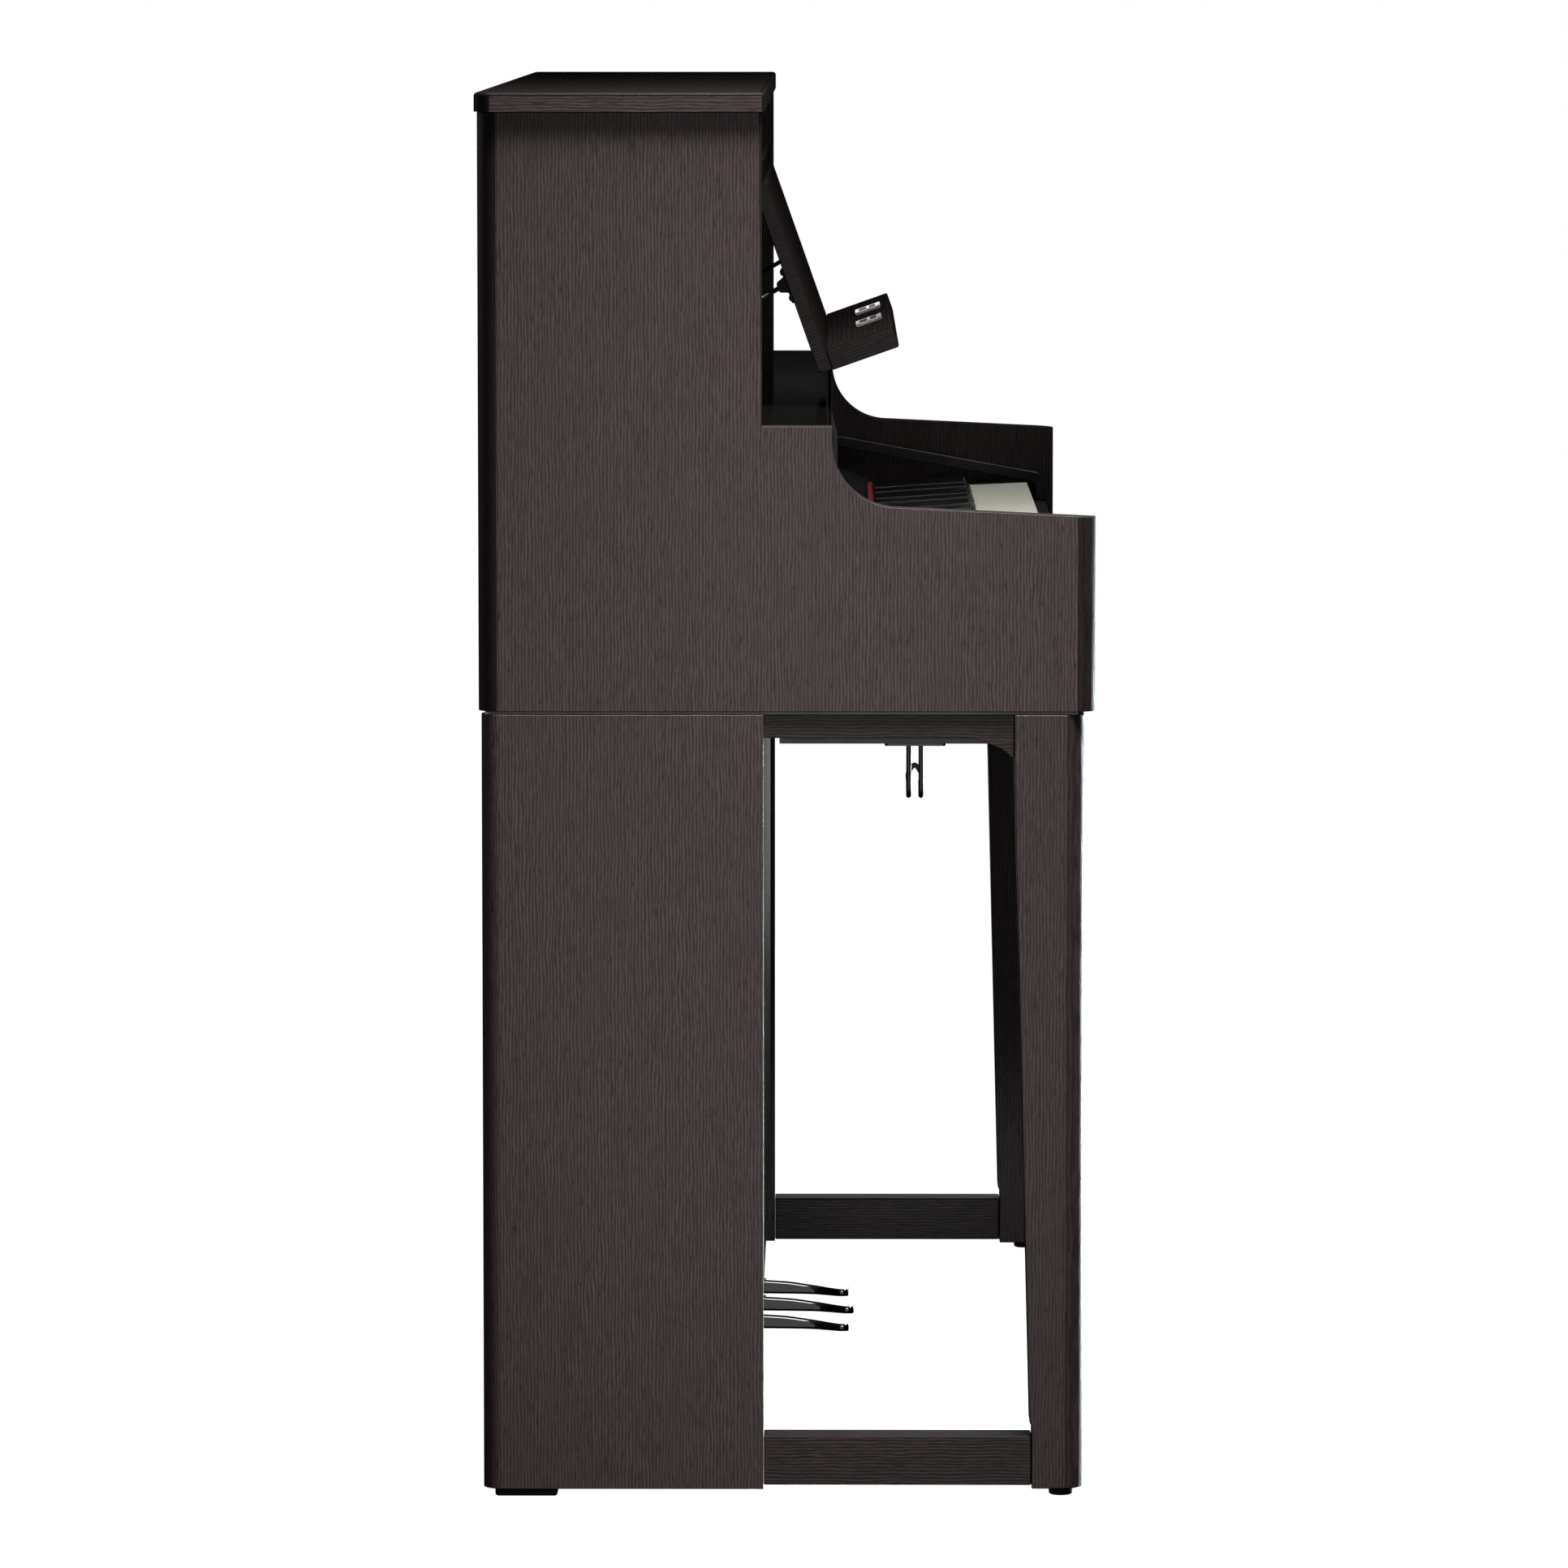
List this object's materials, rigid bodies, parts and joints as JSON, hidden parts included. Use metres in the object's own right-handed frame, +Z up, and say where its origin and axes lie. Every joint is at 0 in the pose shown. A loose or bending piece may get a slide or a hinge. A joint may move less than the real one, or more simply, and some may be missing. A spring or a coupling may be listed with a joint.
{
  "type": "digital piano on stand",
  "caption": "Upright-style digital piano on its own stand, with sliding keyboard lid, swing-out music desk, hinged top lid, pedals and headphone hook.",
  "frame": {"origin": "on the floor, at the centre of the rectangle that the piano covers seen from above", "axes": "+Z up; the player sits at -Y, so +Y points to the piano's back; +X points to the player's right, the treble end"},
  "size_m": [1.378, 0.491, 1.1175],
  "materials": {
    "wood": "open-pore vertical-grain veneer, satin",
    "dark_wood": "open-pore veneer, satin, darker in the recesses",
    "black_plastic": "satin moulded",
    "felt": "wool felt",
    "rubber": "matte",
    "grey_steel": "satin grey paint",
    "dark_steel": "satin black plating",
    "bright_metal": "fine brushed",
    "chrome": "mirror polish",
    "ivory": "satin ivory-feel",
    "ebony": "satin ebony-feel",
    "circuit": "coated fibreglass board",
    "black_board": "black-faced fibreboard",
    "speaker": "black basket and paper cone"
  },
  "bodies": {
    "cabinet": {"upper_front_board": "wood", "kick_board": "wood", "toe_board": "wood", "upper_side_left": "wood", "upper_side_right": "wood", "lower_side_left": "wood", "lower_side_right": "wood", "front_leg_left": "wood", "front_leg_right": "wood", "bottom_rail_left": "wood", "bottom_rail_right": "wood", "shelf": "dark_wood", "key_slip": "dark_wood", "lid_slot_cover": "dark_wood", "apron_left": "dark_wood", "apron_right": "dark_wood", "fascia": "black_plastic", "power_inlet": "black_plastic", "lid_track_left": "black_plastic", "lid_track_right": "black_plastic", "cheek_block_left": "black_plastic", "cheek_block_right": "black_plastic", "key_felt": "felt", "rear_foot_left": "rubber", "rear_foot_right": "rubber", "front_foot_left": "rubber", "front_foot_right": "rubber", "base_plate": "grey_steel", "keybed": "grey_steel", "key_chassis": "grey_steel", "pedal_frame": "grey_steel", "headphone_hook": "dark_steel", "fascia_strip": "bright_metal", "white_keys_bass": "ivory", "white_keys_treble": "ivory", "black_keys_bass": "ebony", "black_keys_treble": "ebony", "main_board": "circuit", "upper_back_panel": "black_board", "lower_back_panel": "black_board", "speaker_left": "speaker", "speaker_right": "speaker"},
    "top_lid": {"top_lid": "wood"},
    "keyboard_lid": {"keyboard_lid": "dark_wood"},
    "music_desk": {"music_desk": "wood", "desk_ledge": "wood"},
    "desk_stay_left": {"desk_stay_left": "dark_steel"},
    "desk_stay_right": {"desk_stay_right": "dark_steel"},
    "page_holder_left": {"page_holder_left": "bright_metal"},
    "page_holder_right": {"page_holder_right": "bright_metal"},
    "soft_pedal": {"soft_pedal": "chrome"},
    "sostenuto_pedal": {"sostenuto_pedal": "chrome"},
    "damper_pedal": {"damper_pedal": "chrome"},
    "key_c4": {"key_c4": "ivory"},
    "key_c_sharp4": {"key_c_sharp4": "ebony"},
    "key_d4": {"key_d4": "ivory"},
    "key_d_sharp4": {"key_d_sharp4": "ebony"},
    "key_e4": {"key_e4": "ivory"},
    "power_button": {"power_button": "black_plastic"},
    "volume_button": {"volume_button": "black_plastic"}
  },
  "joints": [
    {"name": "top_lid_hinge", "type": "hinge", "parent": "cabinet", "child": "top_lid", "pos_m": [0, 0.2433, 1.1023], "axis": [-1, 0, 0], "range_deg": [0, 60]},
    {"name": "keyboard_lid_slide", "type": "slide", "parent": "cabinet", "child": "keyboard_lid", "axis": [0, -0.998, -0.0628], "range_m": [0, 0.2]},
    {"name": "music_desk_hinge", "type": "hinge", "parent": "cabinet", "child": "music_desk", "pos_m": [0, 0.02187, 1.0339], "axis": [1, 0, 0], "range_deg": [0, 19.5]},
    {"name": "desk_stay_left_fold", "type": "hinge", "parent": "music_desk", "child": "desk_stay_left", "pos_m": [-0.35, 0.00449, 0.95312], "axis": [1, 0, 0], "range_deg": [-79, 0]},
    {"name": "desk_stay_right_fold", "type": "hinge", "parent": "music_desk", "child": "desk_stay_right", "pos_m": [0.35, 0.00449, 0.95312], "axis": [1, 0, 0], "range_deg": [-79, 0]},
    {"name": "page_holder_left_flip", "type": "hinge", "parent": "music_desk", "child": "page_holder_left", "pos_m": [-0.124, -0.07805, 0.91954], "axis": [1, 0, 0], "range_deg": [0, 100]},
    {"name": "page_holder_right_flip", "type": "hinge", "parent": "music_desk", "child": "page_holder_right", "pos_m": [0.124, -0.07805, 0.91954], "axis": [1, 0, 0], "range_deg": [0, 100]},
    {"name": "soft_pedal_press", "type": "hinge", "parent": "cabinet", "child": "soft_pedal", "pos_m": [-0.098, 0.115, 0.05], "axis": [1, 0, 0], "range_deg": [0, 5.5], "stiffness_Nm_per_rad": 15, "springref_deg": -5.73},
    {"name": "sostenuto_pedal_press", "type": "hinge", "parent": "cabinet", "child": "sostenuto_pedal", "pos_m": [0, 0.115, 0.05], "axis": [1, 0, 0], "range_deg": [0, 5.5], "stiffness_Nm_per_rad": 15, "springref_deg": -5.73},
    {"name": "damper_pedal_press", "type": "hinge", "parent": "cabinet", "child": "damper_pedal", "pos_m": [0.098, 0.115, 0.05], "axis": [1, 0, 0], "range_deg": [0, 5.5], "stiffness_Nm_per_rad": 15, "springref_deg": -5.73},
    {"name": "key_c4_press", "type": "hinge", "parent": "cabinet", "child": "key_c4", "pos_m": [-0.05893, 0, 0.7225], "axis": [1, 0, 0], "range_deg": [0, 2.6], "stiffness_Nm_per_rad": 1.5, "springref_deg": -9.74},
    {"name": "key_d4_press", "type": "hinge", "parent": "cabinet", "child": "key_d4", "pos_m": [-0.03536, 0, 0.7225], "axis": [1, 0, 0], "range_deg": [0, 2.6], "stiffness_Nm_per_rad": 1.5, "springref_deg": -9.74},
    {"name": "key_e4_press", "type": "hinge", "parent": "cabinet", "child": "key_e4", "pos_m": [-0.01179, 0, 0.7225], "axis": [1, 0, 0], "range_deg": [0, 2.6], "stiffness_Nm_per_rad": 1.5, "springref_deg": -9.74},
    {"name": "key_c_sharp4_press", "type": "hinge", "parent": "cabinet", "child": "key_c_sharp4", "pos_m": [-0.04934, 0, 0.7225], "axis": [1, 0, 0], "range_deg": [0, 2.6], "stiffness_Nm_per_rad": 1, "springref_deg": -8.59},
    {"name": "key_d_sharp4_press", "type": "hinge", "parent": "cabinet", "child": "key_d_sharp4", "pos_m": [-0.02137, 0, 0.7225], "axis": [1, 0, 0], "range_deg": [0, 2.6], "stiffness_Nm_per_rad": 1, "springref_deg": -8.59},
    {"name": "power_button_press", "type": "slide", "parent": "cabinet", "child": "power_button", "axis": [0, 0.3727, -0.928], "range_m": [0, 0.0015], "stiffness_N_per_m": 400, "springref_m": -0.002},
    {"name": "volume_button_press", "type": "slide", "parent": "cabinet", "child": "volume_button", "axis": [0, 0.3727, -0.928], "range_m": [0, 0.0015], "stiffness_N_per_m": 400, "springref_m": -0.002}
  ],
  "couplings": [
    {"joint": "desk_stay_left_fold", "follows": "music_desk_hinge", "ratio": -4.04},
    {"joint": "desk_stay_right_fold", "follows": "music_desk_hinge", "ratio": -4.04}
  ]
}
